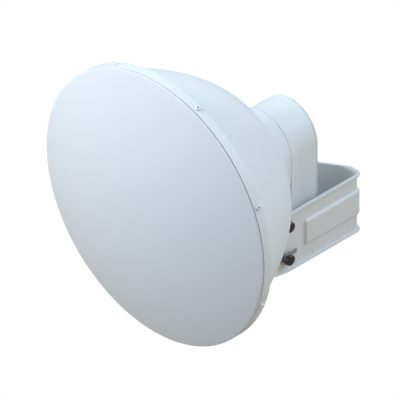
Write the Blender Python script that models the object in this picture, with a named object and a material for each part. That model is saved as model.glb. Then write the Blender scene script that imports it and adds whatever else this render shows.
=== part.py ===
"""Microwave dish antenna with radome, radio housing and pole bracket.

Metres, +Z up. The antenna looks along -Y. The origin is the centre of the flat
floor of the pole recess, on the bracket's rear face, whose outward normal is +Y.
"""
import math

import bmesh
import bpy
from mathutils import Matrix, Vector

MM = 0.001
GAP = 0.3 * MM                      # clearance between pieces that touch

# Pole bracket
SHEET = 3.0 * MM                    # thickness of the pressed steel
BRACKET_TOP = 41.5 * MM
BRACKET_BOTTOM = -44.5 * MM
ARM_X = 69 * MM                     # outer face of each arm
ARM_FRONT_Y = -131.5 * MM
LAND_Y = 22.8 * MM                  # outer face of the two rear lands
RECESS_HALF_WIDTH = 46.5 * MM
RECESS_RADIUS = 20 * MM             # of the bend from a land into the recess, where lips end
FLOOR_HALF_WIDTH = 10 * MM
CORNER_RADIUS = 6 * MM
LIP = 3.5 * MM                      # how far the rolled lips stand out
BEND = 1 * MM                       # inner radius of the lip's bend
PANEL_RAISE = 3 * MM
PANEL_HALF_HEIGHT = 16.2 * MM
PANEL_SLOPE = 3 * MM
PANEL_Z = -1 * MM
PANEL_START_Y = -74.3 * MM
PANEL_RAMP = 3.6 * MM               # over which the panel rises at its ends
PANEL_SPREAD = 0.4 * SHEET          # the panel is this much wider on its inner side
HEEL_Y = -94.5 * MM                 # where the bottom edge starts to rise
HEEL_REACH = 32 * MM
HEEL_RISE = 4 * MM
NOSE_TOP_Y = -110.5 * MM            # the arms' upper front corners slant from here
NOSE_PIVOT_Y = -116.1 * MM          # past here at the pivot's height
NOSE_END_Z = -18 * MM               # down to here at the front edge
CLAMP_SLOT_X = 55.5 * MM
CLAMP_SLOT_RUN = 1.5 * MM           # half of the straight stretch of a clamp slot
CLAMP_SLOT_RADIUS = 4.4 * MM
REACH = 90 * MM                     # cutters reach past both arms

# Elevation pivot and its lock bolts
PIVOT_Y = -105.5 * MM
PIVOT_Z = 26.5 * MM
LOCK_RADIUS = 50 * MM
SLOT_HALF_ANGLE = math.radians(17.5)
SLOT_HALF_WIDTH = 4.6 * MM
BOLT_RADIUS = 4 * MM
BOLT_HOLE_RADIUS = 4.3 * MM
BOLT_HEAD_RADIUS = 7.3 * MM
BOLT_HEAD_HEIGHT = 5.5 * MM
BOLT_TIP = 3 * MM                   # how far the bolt stands out of its nut
SPRING_WASHER_RADIUS = 7 * MM
SPRING_WASHER_HEIGHT = 2 * MM
FLAT_WASHER_RADIUS = 9.6 * MM
FLAT_WASHER_HEIGHT = 1.6 * MM
NUT_RADIUS = 7.5 * MM
NUT_HEIGHT = 6.5 * MM

# Dish: the rim plane's centre, and the sizes of the turned pieces
DISH_Y = -263 * MM
DISH_Z = 99 * MM
RIM_RADIUS = 189 * MM
BAND_WIDTH = 14.5 * MM
BAND_WALL = 2.5 * MM
RADOME_HEIGHT = 40 * MM
RADOME_WALL = 2.5 * MM
RADOME_LIP = 2 * MM                 # straight edge of the radome, ahead of the joint
RADOME_ROUND = 1.5 * MM             # rounding between that edge and the dome
SKIRT_END = 10 * MM                 # the radome's skirt reaches this far into the band
REVEAL = 1.2 * MM                   # dark joint between radome and band
BOWL_RADIUS = 167.5 * MM
BOWL_WALL = 2 * MM
FLARE = 18 * MM
FLARE_DEPTH = 105 * MM
COLLAR_RADIUS = 181.6 * MM          # bowl's front collar, inside the radome's skirt
COLLAR_FRONT = 2 * MM
COLLAR_REAR = 10.5 * MM
SEAM = 136 * MM                     # the bowl ends here, and the neck goes on
NECK_START = 150 * MM               # where the neck leaves the sphere
NECK_PULL = 0.5                     # how long the neck's curve holds the sphere's slope
HOUSING_PULL = 0.55                 # and how long it holds the housing's
NECK_ARCH_START = 150 * MM          # the neck turns from round to arch-shaped from here
NECK_ARCH_END = 175 * MM
NECK_DROP = 48 * MM                 # lowest point of the neck's arch below the axis
SCREW_COUNT = 8
FIRST_SCREW = math.radians(25)
SCREW_RADIUS = 2 * MM
SCREW_HOLE_RADIUS = 2.4 * MM
SCREW_HEAD_RADIUS = 4.1 * MM
SCREW_HEAD_HEIGHT = 2.6 * MM
SCREW_SHANK = 9 * MM
TURNED_STEPS = 60

# Radio housing behind the bowl
HOUSING_FRONT = 187 * MM            # behind the rim plane
FLARE_END = 205 * MM                # the neck's flare runs on into the housing
HOUSING_REAR = 237 * MM
HOUSING_RADIUS = 47 * MM
HOUSING_DRAFT = 0.4 * MM
HOUSING_DROP = 158 * MM             # bottom face below the dish axis
HOUSING_WALL = 2.5 * MM
HOUSING_CORNER = 8 * MM             # rounding at the housing's lower corners
COVER_DEPTH = 3 * MM
CAP_DEPTH = 12 * MM
CAP_INSET = 0.4 * MM                # the cap is this much narrower on each side
CAP_ROUND = 3 * MM

# Yoke between bowl and bracket
EAR_X = ARM_X - SHEET - GAP         # outer face of each ear
EAR_MARGIN = 12 * MM                # metal round the bolts
EAR_STAND_OFF = 1.5 * MM            # between the bowl and the ear's front edge
EAR_KNEE_DROP = 88 * MM             # the front edge leaves the bowl here
EAR_TOP_SETBACK = 5 * MM
WEB_BEHIND_RIM = 141 * MM           # cross web between the ears
WEB_BOTTOM_Z = -33 * MM
WEB_TOP_Z = -1 * MM
FOOT_X = 52 * MM
FOOT_DROPS = (96 * MM, 130 * MM)
FOOT_WIDTH = 18 * MM
FOOT_BOLT_RADIUS = 3 * MM
FOOT_HOLE_RADIUS = 3.4 * MM
FOOT_HEAD_RADIUS = 7 * MM
FOOT_HEAD_HEIGHT = 2.5 * MM
FOOT_NUT_RADIUS = 5.2 * MM
FOOT_NUT_HEIGHT = 5.5 * MM
FOOT_FLANGE = 1.2 * MM              # thickness of the nut's flange
FOOT_TIP = 2.5 * MM


def material(name, colour, roughness, metallic=0.0):
    mat = bpy.data.materials.new(name)
    mat.use_nodes = True
    shader = mat.node_tree.nodes["Principled BSDF"]
    shader.inputs["Base Color"].default_value = (*colour, 1.0)
    shader.inputs["Roughness"].default_value = roughness
    shader.inputs["Metallic"].default_value = metallic
    mat.diffuse_color = (*colour, 1.0)
    return mat


def add(name, bm, mat):
    """Turn a bmesh into a named object with faces pointing out."""
    bmesh.ops.recalc_face_normals(bm, faces=bm.faces[:])
    mesh = bpy.data.meshes.new(name)
    bm.to_mesh(mesh)
    bm.free()
    mesh.shade_smooth()
    mesh.set_sharp_from_angle(angle=math.radians(30))
    obj = bpy.data.objects.new(name, mesh)
    if mat:
        mesh.materials.append(mat)
    bpy.context.scene.collection.objects.link(obj)
    return obj


def tool(name, bm):
    """A guide shape that only cuts or joins other pieces."""
    obj = add(name, bm, None)
    obj.hide_render = True
    obj.display_type = "WIRE"
    return obj


def combine(obj, other, operation="DIFFERENCE"):
    mod = obj.modifiers.new(other.name, "BOOLEAN")
    mod.operation = operation
    mod.object = other
    mod.solver = "EXACT"


def skin_rings(bm, rings, closed_ends):
    """Join rings of vertices by quads, and cap the two ends if asked."""
    count = len(rings[0])
    for near, far in zip(rings, rings[1:]):
        for i in range(count):
            j = (i + 1) % count
            bm.faces.new((near[i], near[j], far[j], far[i]))
    if closed_ends:
        bm.faces.new(rings[0])
        bm.faces.new(rings[-1])


def turned(profile, steps=TURNED_STEPS, ring=False):
    """Turn (y, r) points about the Y axis. A ring profile is a closed loop."""
    bm = bmesh.new()
    rows = []
    for y, r in profile:
        if r == 0:
            rows.append([bm.verts.new((0, y, 0))])
            continue
        angles = (2 * math.pi * k / steps for k in range(steps))
        rows.append([bm.verts.new((r * math.cos(a), y, r * math.sin(a))) for a in angles])
    if ring:
        rows.append(rows[0])
    for a, b in zip(rows, rows[1:]):
        for k in range(steps):
            n = (k + 1) % steps
            corners = []
            for corner in (a[k % len(a)], a[n % len(a)], b[n % len(b)], b[k % len(b)]):
                if corner not in corners:
                    corners.append(corner)
            bm.faces.new(corners)
    return bm


def on_dish(bm):
    """Move a piece turned about the Y axis onto the dish axis."""
    bmesh.ops.translate(bm, verts=bm.verts[:], vec=(0, DISH_Y, DISH_Z))
    return bm


def prism(outline, x0, x1):
    """Extrude a (y, z) outline from x0 to x1."""
    bm = bmesh.new()
    rings = [[bm.verts.new((x, y, z)) for y, z in outline] for x in (x0, x1)]
    skin_rings(bm, rings, True)
    return bm


def arc(cy, cz, radius, start, end, steps):
    """Points on a circle, from start to end in radians, both included."""
    turn = (end - start) / steps
    return [(cy + radius * math.cos(start + k * turn), cz + radius * math.sin(start + k * turn))
            for k in range(steps + 1)]


def aim(direction, origin):
    """Matrix that carries +Y to direction and the origin to a point."""
    turn = Vector((0, 1, 0)).rotation_difference(direction).to_matrix().to_4x4()
    return Matrix.Translation(origin) @ turn


def sphere_y(x, drop, radius):
    """How far behind the rim plane a sphere about the rim's centre lies."""
    return math.sqrt(radius ** 2 - x ** 2 - drop ** 2)


def bowl_line(y):
    """Outer radius of the bowl, its flared front included."""
    flare = FLARE * max(0.0, 1 - y / FLARE_DEPTH) ** 2
    return math.sqrt(BOWL_RADIUS ** 2 - y ** 2) + flare


def neck_line(y):
    """Radius of the neck where it sweeps from the sphere to the housing's wall."""
    if y <= NECK_START:
        return bowl_line(y)
    first = math.sqrt(BOWL_RADIUS ** 2 - NECK_START ** 2)
    fall = first - HOUSING_RADIUS
    corner = NECK_START + fall * first / NECK_START
    ends = (NECK_START, NECK_START + NECK_PULL * (corner - NECK_START),
            FLARE_END - HOUSING_PULL * (FLARE_END - corner), FLARE_END)
    radii = (first, first - NECK_PULL * fall, HOUSING_RADIUS, HOUSING_RADIUS)
    low, high = 0.0, 1.0
    for _ in range(30):
        t = (low + high) / 2
        if bezier(ends, t) < y:
            low = t
        else:
            high = t
    return bezier(radii, low)


def bezier(p, t):
    s = 1 - t
    return s ** 3 * p[0] + 3 * s * s * t * p[1] + 3 * s * t * t * p[2] + t ** 3 * p[3]


def smooth(x):
    x = min(1.0, max(0.0, x))
    return x * x * (3 - 2 * x)


def arch_ratio(angle, radius):
    """Distance to an arch-topped outline over its radius, at an angle from +X."""
    if math.sin(angle) >= 0:
        return 1.0
    side = 1 / max(abs(math.cos(angle)), 0.01)
    base = NECK_DROP / radius / max(abs(math.sin(angle)), 0.01)
    power = 7
    return (side ** -power + base ** -power) ** (-1 / power)


def bowl_radius(y, angle):
    """Outer radius of bowl and neck at one angle about the dish axis."""
    radius = neck_line(y)
    share = smooth((y - NECK_ARCH_START) / (NECK_ARCH_END - NECK_ARCH_START))
    return radius * (1 + share * (arch_ratio(angle, radius) - 1))


def full_row(y):
    """One row of the outer face: y, and a radius for each step round the axis."""
    return y, [bowl_radius(y, 2 * math.pi * k / TURNED_STEPS) for k in range(TURNED_STEPS)]


def shell(name, outer, flat_rows, mat):
    """A thin open shell. Its ends are cut flat, and so are its first few rows."""
    inner = []
    for i, (y, radii) in enumerate(outer):
        before, after = outer[max(i - 1, 0)], outer[min(i + 1, len(outer) - 1)]
        run, fall = after[0] - before[0], before[1][0] - after[1][0]
        lean = math.hypot(run, fall)
        if i < flat_rows:
            shift, inset = 0.0, BOWL_WALL
        elif i in (0, len(outer) - 1):
            shift, inset = 0.0, BOWL_WALL * lean / run
        else:
            shift, inset = BOWL_WALL * fall / lean, BOWL_WALL * run / lean
        inner.append((y - shift, [r - inset for r in radii]))
    bm = bmesh.new()
    rings = []
    for y, radii in outer + inner[::-1]:
        turn = 2 * math.pi / len(radii)
        rings.append([bm.verts.new((r * math.cos(k * turn), y, r * math.sin(k * turn)))
                      for k, r in enumerate(radii)])
    skin_rings(bm, rings + rings[:1], False)
    return add(name, on_dish(bm), mat)


def make_bowl(mat, *holes):
    """Front collar and flared bowl, up to the seam where the neck goes on."""
    rows = 8
    outer = [(y, [COLLAR_RADIUS] * TURNED_STEPS) for y in (COLLAR_FRONT, COLLAR_REAR)]
    outer += [full_row(BAND_WIDTH + (SEAM - BAND_WIDTH) * math.sin(math.pi / 2 * k / rows))
              for k in range(rows + 1)]
    bowl = shell("reflector_bowl", outer, 3, mat)
    for cutter in holes:
        combine(bowl, cutter)


def make_neck(mat):
    """The sweep from the bowl's sphere to the housing's arch-shaped front."""
    rows = 9
    front, rear = SEAM + GAP, HOUSING_FRONT - GAP / 2
    outer = [full_row(front + (rear - front) * k / rows) for k in range(rows + 1)]
    shell("bowl_neck", outer, 0, mat)


def make_radome(mat, holes):
    """Shallow dome with a short edge, and a skirt between collar and band."""
    sphere = (RIM_RADIUS ** 2 + RADOME_HEIGHT ** 2) / (2 * RADOME_HEIGHT)
    edge_front = -REVEAL - RADOME_LIP
    steps = 9

    def cap(r, inset):
        return edge_front - (math.sqrt((sphere - inset) ** 2 - r ** 2)
                             - math.sqrt(sphere ** 2 - RIM_RADIUS ** 2))

    dome_edge = RIM_RADIUS - RADOME_ROUND
    skirt_outer = RIM_RADIUS - BAND_WALL - GAP
    skirt_inner = COLLAR_RADIUS + GAP
    outer = [(cap(dome_edge * k / steps, 0), dome_edge * k / steps) for k in range(steps + 1)]
    rim = [(edge_front + 0.4 * RADOME_ROUND, RIM_RADIUS - 0.15 * RADOME_ROUND),
           (edge_front + RADOME_ROUND, RIM_RADIUS), (-REVEAL, RIM_RADIUS),
           (-REVEAL, skirt_outer), (SKIRT_END, skirt_outer), (SKIRT_END, skirt_inner)]
    inner = [(cap(skirt_inner * k / steps, RADOME_WALL), skirt_inner * k / steps)
             for k in range(steps, -1, -1)]
    radome = add("radome", on_dish(turned(outer + rim + inner)), mat)
    combine(radome, holes)


def make_band(mat, holes):
    """Ring round the radome's skirt, with a flange behind that closes on the bowl."""
    inner = RIM_RADIUS - BAND_WALL
    flange_front = BAND_WIDTH - 2 * MM
    throat = bowl_line(BAND_WIDTH) + 2.5 * MM
    front_edge, rear_edge = 0.5 * MM, 1 * MM
    profile = [(0, inner), (0, RIM_RADIUS - front_edge), (front_edge, RIM_RADIUS),
               (BAND_WIDTH - rear_edge, RIM_RADIUS), (BAND_WIDTH, RIM_RADIUS - rear_edge),
               (BAND_WIDTH, throat), (flange_front, throat), (flange_front, inner)]
    band = add("rim_band", on_dish(turned(profile, ring=True)), mat)
    combine(band, holes)


def screw_frames():
    for k in range(SCREW_COUNT):
        angle = FIRST_SCREW + 2 * math.pi * k / SCREW_COUNT
        outward = Vector((math.cos(angle), 0, math.sin(angle)))
        seat = Vector((0, DISH_Y + BAND_WIDTH / 2 - 0.5 * MM, DISH_Z)) + outward * RIM_RADIUS
        yield k + 1, aim(outward, seat)


def make_rim_screws(mat):
    """Round-headed screws, which stand on the band and end in the collar."""
    head, height = SCREW_HEAD_RADIUS, SCREW_HEAD_HEIGHT
    profile = [(-SCREW_SHANK, 0), (-SCREW_SHANK, SCREW_RADIUS), (GAP / 2, SCREW_RADIUS),
               (GAP / 2, head), (0.45 * height, head), (0.85 * height, 0.7 * head),
               (height, 0)]
    for number, place in screw_frames():
        bm = turned(profile, steps=12)
        bmesh.ops.transform(bm, matrix=place, verts=bm.verts[:])
        add(f"rim_screw_{number}", bm, mat)


def drill(name, places, radius, depth):
    """Round cutters along the +Y of each place, half before it and half behind."""
    bm = bmesh.new()
    for place in places:
        upright = place @ Matrix.Rotation(math.radians(90), 4, "X")
        bmesh.ops.create_cone(bm, cap_ends=True, segments=12, radius1=radius,
                              radius2=radius, depth=depth, matrix=upright)
    return tool(name, bm)


def arch(radius, drop, steps=16):
    """(x, z) outline of the housing about the dish axis, from the lower right."""
    corner = HOUSING_CORNER
    inner = radius - corner
    points = [(radius * math.cos(math.pi * k / steps), radius * math.sin(math.pi * k / steps))
              for k in range(steps + 1)]
    for side, first in ((-1, 180), (1, 270)):
        for k in range(4):
            a = math.radians(first + 30 * k)
            points.append((side * inner + corner * math.cos(a),
                           -drop + corner + corner * math.sin(a)))
    return points


def arch_rings(bm, stations):
    rings = []
    for y, radius, drop in stations:
        rings.append([bm.verts.new((x, DISH_Y + y, DISH_Z + z)) for x, z in arch(radius, drop)])
    return rings


def make_housing(mat):
    """Front shell open at the back, closed by a cover and a cap below."""
    radius, drop, wall = HOUSING_RADIUS - HOUSING_DRAFT, HOUSING_DROP, HOUSING_WALL
    front, joint = HOUSING_FRONT, HOUSING_REAR - COVER_DEPTH
    edge = 0.6 * MM
    cap_top = drop - CAP_DEPTH
    face = front + GAP / 2

    bm = bmesh.new()
    stations = [(front + wall + GAP, radius - wall, cap_top - wall),
                (joint - GAP / 2, radius - wall, cap_top - wall),
                (joint - GAP / 2, radius, cap_top)]
    steps = 4
    for k in range(steps + 1):
        y = FLARE_END - (FLARE_END - face - edge) * k / steps
        stations.append((y, neck_line(y), cap_top))
    stations.append((face, neck_line(front) - edge, cap_top - edge))
    skin_rings(bm, arch_rings(bm, stations), True)
    add("housing_body", bm, mat)

    bm = bmesh.new()
    chamfer = 2 * MM
    rings = arch_rings(bm, [(joint + GAP / 2, radius, cap_top),
                            (HOUSING_REAR - chamfer, radius, cap_top),
                            (HOUSING_REAR, radius - chamfer, cap_top - chamfer)])
    skin_rings(bm, rings, True)
    add("housing_back_cover", bm, mat)

    bm = bmesh.new()
    top = DISH_Z - cap_top - GAP
    bottom = DISH_Z - drop
    bmesh.ops.create_cube(bm, size=1)
    size = Vector((2 * (radius - CAP_INSET), HOUSING_REAR - front - chamfer, top - bottom))
    middle = Vector((0, DISH_Y + (front + HOUSING_REAR) / 2, (top + bottom) / 2))
    bmesh.ops.transform(bm, matrix=Matrix.Translation(middle) @ Matrix.Diagonal((*size, 1)),
                        verts=bm.verts[:])
    cap = add("housing_bottom_cap", bm, mat)
    bevel = cap.modifiers.new("edges", "BEVEL")
    bevel.width = CAP_ROUND
    bevel.segments = 2


def heel(y):
    """Height that the bracket's bottom edge has risen at the front of an arm."""
    return HEEL_RISE * max(0.0, (HEEL_Y - y) / HEEL_REACH) ** 2


def lip_bend(radius, edge, side, steps):
    """(outward, z) points round a lip's bend, from the lip to the upright sheet."""
    centre = edge - side * (SHEET + BEND)
    turns = [math.pi / 2 * k / steps for k in range(steps + 1)]
    return [(BEND - radius * math.sin(a), centre + side * radius * math.cos(a)) for a in turns]


def straighten(lip, outward, edge, side, lipped):
    """Unroll a lip towards an upright sheet that ends at the edge, by a share."""
    reach = SHEET + BEND
    plain = [(outward, edge - side * reach * k / (len(lip) - 1)) for k in range(len(lip))]
    return [(u + lipped * (v - u), w + lipped * (z - w)) for (u, w), (v, z) in zip(plain, lip)]


def bracket_section(rise, raised, lipped):
    """Closed (outward, z) section of the sheet, from the top lip and back."""
    top, bottom = BRACKET_TOP, BRACKET_BOTTOM + rise
    high, low = PANEL_Z + PANEL_HALF_HEIGHT, PANEL_Z - PANEL_HALF_HEIGHT
    face, back = [], []
    for edge, side in ((top, 1), (bottom, -1)):
        under = [(LIP, edge - side * SHEET)] + lip_bend(BEND, edge, side, 2)
        over = [(LIP, edge)] + lip_bend(BEND + SHEET, edge, side, 3)
        face.append(straighten(under, 0, edge, side, lipped))
        back.append(straighten(over, -SHEET, edge, side, lipped))
    front = face[0] + [(0, high + PANEL_SLOPE), (raised, high), (raised, low),
                       (0, low - PANEL_SLOPE)] + face[1][::-1]
    high, low = high + PANEL_SPREAD, low - PANEL_SPREAD
    rear = back[1] + [(-SHEET, low - PANEL_SLOPE), (raised - SHEET, low), (raised - SHEET, high),
                      (-SHEET, high + PANEL_SLOPE)] + back[0][::-1]
    return front + rear


def bracket_path():
    """(x, y, normal x, normal y, panel raise, lip share) down the right arm to the middle."""
    lean = math.atan2(LAND_Y, RECESS_HALF_WIDTH - FLOOR_HALF_WIDTH)
    mitre = math.tan(lean / 2)
    heel_steps, corner_steps, recess_steps = 5, 5, 4
    full = PANEL_RAISE
    path = [(ARM_X, ARM_FRONT_Y + (HEEL_Y - ARM_FRONT_Y) * k / heel_steps, 1, 0, 0, 1)
            for k in range(heel_steps + 1)]
    path += [(ARM_X, PANEL_START_Y, 1, 0, 0, 1),
             (ARM_X, PANEL_START_Y + PANEL_RAMP, 1, 0, full, 1)]
    for k in range(corner_steps + 1):
        a = math.pi / 2 * k / corner_steps
        path.append((ARM_X - CORNER_RADIUS * (1 - math.cos(a)),
                     LAND_Y - CORNER_RADIUS * (1 - math.sin(a)), math.cos(a), math.sin(a), full,
                     1))
    turn_x, turn_y = RECESS_HALF_WIDTH + RECESS_RADIUS * mitre, LAND_Y - RECESS_RADIUS
    for k in range(recess_steps + 1):
        a = math.pi / 2 + lean * k / recess_steps
        path.append((turn_x + RECESS_RADIUS * math.cos(a), turn_y + RECESS_RADIUS * math.sin(a),
                     math.cos(a), math.sin(a), full if k == 0 else 0, 1 - k / recess_steps))
    path.append((FLOOR_HALF_WIDTH, 0, -mitre, 1, 0, 0))
    return path


def make_bracket(mat):
    bm = bmesh.new()
    right = bracket_path()
    left = [(-x, y, -nx, *rest) for x, y, nx, *rest in reversed(right)]
    rings = []
    for x, y, nx, ny, raised, lipped in right + left:
        section = bracket_section(heel(y), raised, lipped)
        rings.append([bm.verts.new((x + nx * o, y + ny * o, z)) for o, z in section])
    skin_rings(bm, rings, True)
    bracket = add("pole_bracket", bm, mat)
    pivot = bolt_bores("pivot_hole", PIVOT_Z)
    for cutter in (pivot, lock_slots(), front_corners(), clamp_slots()):
        combine(bracket, cutter)


def bolt_bores(name, *heights):
    """Round cutters through both arms or ears, at the pivot's place along Y."""
    steps = 20
    bm = bmesh.new()
    for z in heights:
        circle = arc(PIVOT_Y, z, BOLT_HOLE_RADIUS, 0, 2 * math.pi, steps)[:-1]
        rings = [[bm.verts.new((x, y, h)) for y, h in circle] for x in (-REACH, REACH)]
        skin_rings(bm, rings, True)
    return tool(name, bm)


def lock_slots():
    """Arc slots about the pivot, in which the lower bolts travel."""
    down = math.radians(270)
    first, last = down - SLOT_HALF_ANGLE, down + SLOT_HALF_ANGLE
    w = SLOT_HALF_WIDTH
    steps = 8

    def end(angle):
        return PIVOT_Y + LOCK_RADIUS * math.cos(angle), PIVOT_Z + LOCK_RADIUS * math.sin(angle)

    outline = arc(PIVOT_Y, PIVOT_Z, LOCK_RADIUS + w, first, last, steps)
    outline += arc(*end(last), w, last, last + math.pi, steps)[1:-1]
    outline += arc(PIVOT_Y, PIVOT_Z, LOCK_RADIUS - w, last, first, steps)
    outline += arc(*end(first), w, first + math.pi, first + 2 * math.pi, steps)[1:-1]
    return tool("lock_slot", prism(outline, -REACH, REACH))


def front_corners():
    """Slant the arms' upper front corners, which keeps them off the bowl."""
    ahead = ARM_FRONT_Y - 25 * MM
    beside = ARM_FRONT_Y - 0.5 * MM
    over = BRACKET_TOP + 5 * MM
    outline = [(NOSE_TOP_Y, over), (NOSE_PIVOT_Y, PIVOT_Z), (beside, NOSE_END_Z),
               (ahead, NOSE_END_Z), (ahead, over)]
    return tool("arm_corner", prism(outline, -REACH, REACH))


def clamp_slots():
    """Slots in the rear lands for the two bolts of a pole clamp."""
    inside, outside = -10 * MM, 30 * MM
    steps = 8
    bm = bmesh.new()
    for side in (-1, 1):
        middle = side * CLAMP_SLOT_X
        up, down = math.pi / 2, -math.pi / 2
        ring = arc(middle + CLAMP_SLOT_RUN, PANEL_Z, CLAMP_SLOT_RADIUS, down, up, steps)
        ring += arc(middle - CLAMP_SLOT_RUN, PANEL_Z, CLAMP_SLOT_RADIUS, up, up + math.pi, steps)
        rings = [[bm.verts.new((x, y, z)) for x, z in ring] for y in (inside, outside)]
        skin_rings(bm, rings, True)
    return tool("clamp_slot", bm)


def ear_outline():
    """Side of the yoke: its front edge follows the bowl, its rear holds the bolts."""
    front = math.sqrt((BOWL_RADIUS + EAR_STAND_OFF) ** 2 - (EAR_X - SHEET) ** 2)
    top_z = PIVOT_Z + EAR_MARGIN
    bottom_z = PIVOT_Z - LOCK_RADIUS - EAR_MARGIN
    start = -math.asin((DISH_Z - bottom_z) / front)
    end = -math.asin(EAR_KNEE_DROP / front)
    outline = arc(DISH_Y, DISH_Z, front, start, end, 8)
    outline.append((PIVOT_Y - EAR_TOP_SETBACK, top_z))
    outline += arc(PIVOT_Y, PIVOT_Z, EAR_MARGIN, math.radians(90), 0, 4)
    outline += arc(PIVOT_Y, PIVOT_Z - LOCK_RADIUS, EAR_MARGIN, 0, math.radians(-90), 4)
    return outline


def foot_frames():
    """The yoke's four feet: where each lies on the bowl, facing outwards."""
    number = 0
    for side in (-1, 1):
        for drop in FOOT_DROPS:
            number += 1
            out = Vector((side * FOOT_X, sphere_y(FOOT_X, drop, BOWL_RADIUS), -drop))
            out.normalize()
            yield number, side, aim(out, Vector((0, DISH_Y, DISH_Z)) + out * BOWL_RADIUS)


def foot_plate(side, place):
    """A flat tab on the bowl that reaches from the bolt to the ear."""
    bm = bmesh.new()
    bmesh.ops.create_cube(bm, size=1)
    outward = place.to_3x3() @ Vector((0, 1, 0))
    across = (Vector((side, 0, 0)) - outward * outward.x * side).normalized()
    along = outward.cross(across)
    axes = Matrix((across, outward, along)).transposed().to_4x4()
    inner = FOOT_WIDTH / 2
    length = (EAR_X - FOOT_X - SHEET / 2) / abs(across.x) + inner
    middle = place.translation + outward * (GAP + SHEET / 2) + across * (length / 2 - inner)
    matrix = Matrix.Translation(middle) @ axes @ Matrix.Diagonal((length, SHEET, FOOT_WIDTH, 1))
    bmesh.ops.transform(bm, matrix=matrix, verts=bm.verts[:])
    return bm


def make_yoke(mat, holes):
    """Two ears beside the bracket's arms, joined by a web and held by four feet."""
    outline = ear_outline()
    yoke = add("dish_yoke", prism(outline, EAR_X - SHEET, EAR_X), mat)
    combine(yoke, tool("left_ear", prism(outline, SHEET - EAR_X, -EAR_X)), "UNION")
    front = DISH_Y + WEB_BEHIND_RIM
    web = [(front, WEB_BOTTOM_Z), (front + SHEET, WEB_BOTTOM_Z), (front + SHEET, WEB_TOP_Z),
           (front, WEB_TOP_Z)]
    reach = EAR_X - SHEET / 2
    combine(yoke, tool("yoke_web", prism(web, -reach, reach)), "UNION")
    for number, side, place in foot_frames():
        plate = tool(f"yoke_foot_{number}", foot_plate(side, place))
        combine(yoke, plate, "UNION")
    combine(yoke, holes)
    combine(yoke, bolt_bores("yoke_bores", PIVOT_Z, PIVOT_Z - LOCK_RADIUS))


def make_yoke_bolts(mat):
    """Bolts from inside the bowl, each with its nut on a foot of the yoke."""
    seat = -BOWL_WALL - 1 * MM
    head = seat - FOOT_HEAD_HEIGHT
    nut = SHEET + 2 * GAP
    nut_end = nut + FOOT_NUT_HEIGHT
    tip = nut_end + FOOT_TIP
    flange, radius, edge = nut + FOOT_FLANGE, FOOT_BOLT_RADIUS, 0.2 * MM
    profile = [(head, 0), (head, FOOT_HEAD_RADIUS - 1 * MM), (seat, FOOT_HEAD_RADIUS),
               (seat, radius), (nut, radius), (nut, FOOT_HEAD_RADIUS),
               (flange, FOOT_HEAD_RADIUS), (flange + edge, FOOT_NUT_RADIUS),
               (nut_end, FOOT_NUT_RADIUS - edge), (nut_end, radius), (tip, radius - 2 * edge),
               (tip, 0)]
    for number, _, place in foot_frames():
        bm = turned(profile, steps=12)
        bmesh.ops.transform(bm, matrix=place, verts=bm.verts[:])
        add(f"yoke_bolt_{number}", bm, mat)


def make_bolt_sets(dark, steel):
    """Bolt, spring washer, flat washer and nut for each of four places."""
    for side, hand in ((1, "right"), (-1, "left")):
        for use, z in (("pivot", PIVOT_Z), ("lock", PIVOT_Z - LOCK_RADIUS)):
            place = aim(Vector((side, 0, 0)), Vector((0, PIVOT_Y, z)))
            make_bolt_set(place, use, hand, dark, steel)


def washer(near, far, inner, outer, steps):
    return turned([(near, inner), (near, outer), (far, outer), (far, inner)], steps, ring=True)


def make_bolt_set(place, use, hand, dark, steel):
    """One set, whose +Y runs from the middle of the bracket out through the arm."""
    hole = BOLT_RADIUS + GAP
    flat = ARM_X + GAP
    flat_top = flat + FLAT_WASHER_HEIGHT
    spring = flat_top + GAP
    spring_top = spring + SPRING_WASHER_HEIGHT
    head = spring_top + GAP
    head_top = head + BOLT_HEAD_HEIGHT
    nut_face = EAR_X - SHEET - GAP
    nut_end = nut_face - NUT_HEIGHT
    tip = nut_end - BOLT_TIP
    bevel = 0.8 * MM
    bolt = [(tip, 0), (tip, BOLT_RADIUS - bevel), (tip + bevel, BOLT_RADIUS),
            (head, BOLT_RADIUS), (head, BOLT_HEAD_RADIUS), (head_top - bevel, BOLT_HEAD_RADIUS),
            (head_top, BOLT_HEAD_RADIUS - bevel), (head_top, 0)]
    nut = [(nut_end, hole), (nut_end, NUT_RADIUS - bevel), (nut_end + bevel, NUT_RADIUS),
           (nut_face, NUT_RADIUS), (nut_face, hole)]
    pieces = {
        "bolt": (turned(bolt, steps=12), dark),
        "spring_washer": (washer(spring, spring_top, hole, SPRING_WASHER_RADIUS, 16), steel),
        "flat_washer": (washer(flat, flat_top, hole, FLAT_WASHER_RADIUS, 20), steel),
        "nut": (turned(nut, steps=12, ring=True), steel),
    }
    for kind, (bm, mat) in pieces.items():
        bmesh.ops.transform(bm, matrix=place, verts=bm.verts[:])
        add(f"{use}_{kind}_{hand}", bm, mat)


def main():
    for obj in list(bpy.data.objects):
        bpy.data.objects.remove(obj)
    paint = material("white_paint", (0.78, 0.80, 0.81), 0.45)
    plastic = material("white_plastic", (0.80, 0.83, 0.85), 0.5)
    dark = material("dark_bolt", (0.05, 0.045, 0.045), 0.4, 1.0)
    steel = material("zinc_steel", (0.55, 0.56, 0.57), 0.35, 1.0)
    screws = drill("rim_screw_holes", [place for _, place in screw_frames()],
                   SCREW_HOLE_RADIUS, 20 * MM)
    feet = drill("foot_holes", [place for _, _, place in foot_frames()],
                 FOOT_HOLE_RADIUS, 30 * MM)
    make_radome(plastic, screws)
    make_band(paint, screws)
    make_rim_screws(paint)
    make_bowl(paint, screws, feet)
    make_neck(paint)
    make_housing(plastic)
    make_yoke(paint, feet)
    make_yoke_bolts(steel)
    make_bolt_sets(dark, steel)
    make_bracket(paint)


main()
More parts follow.
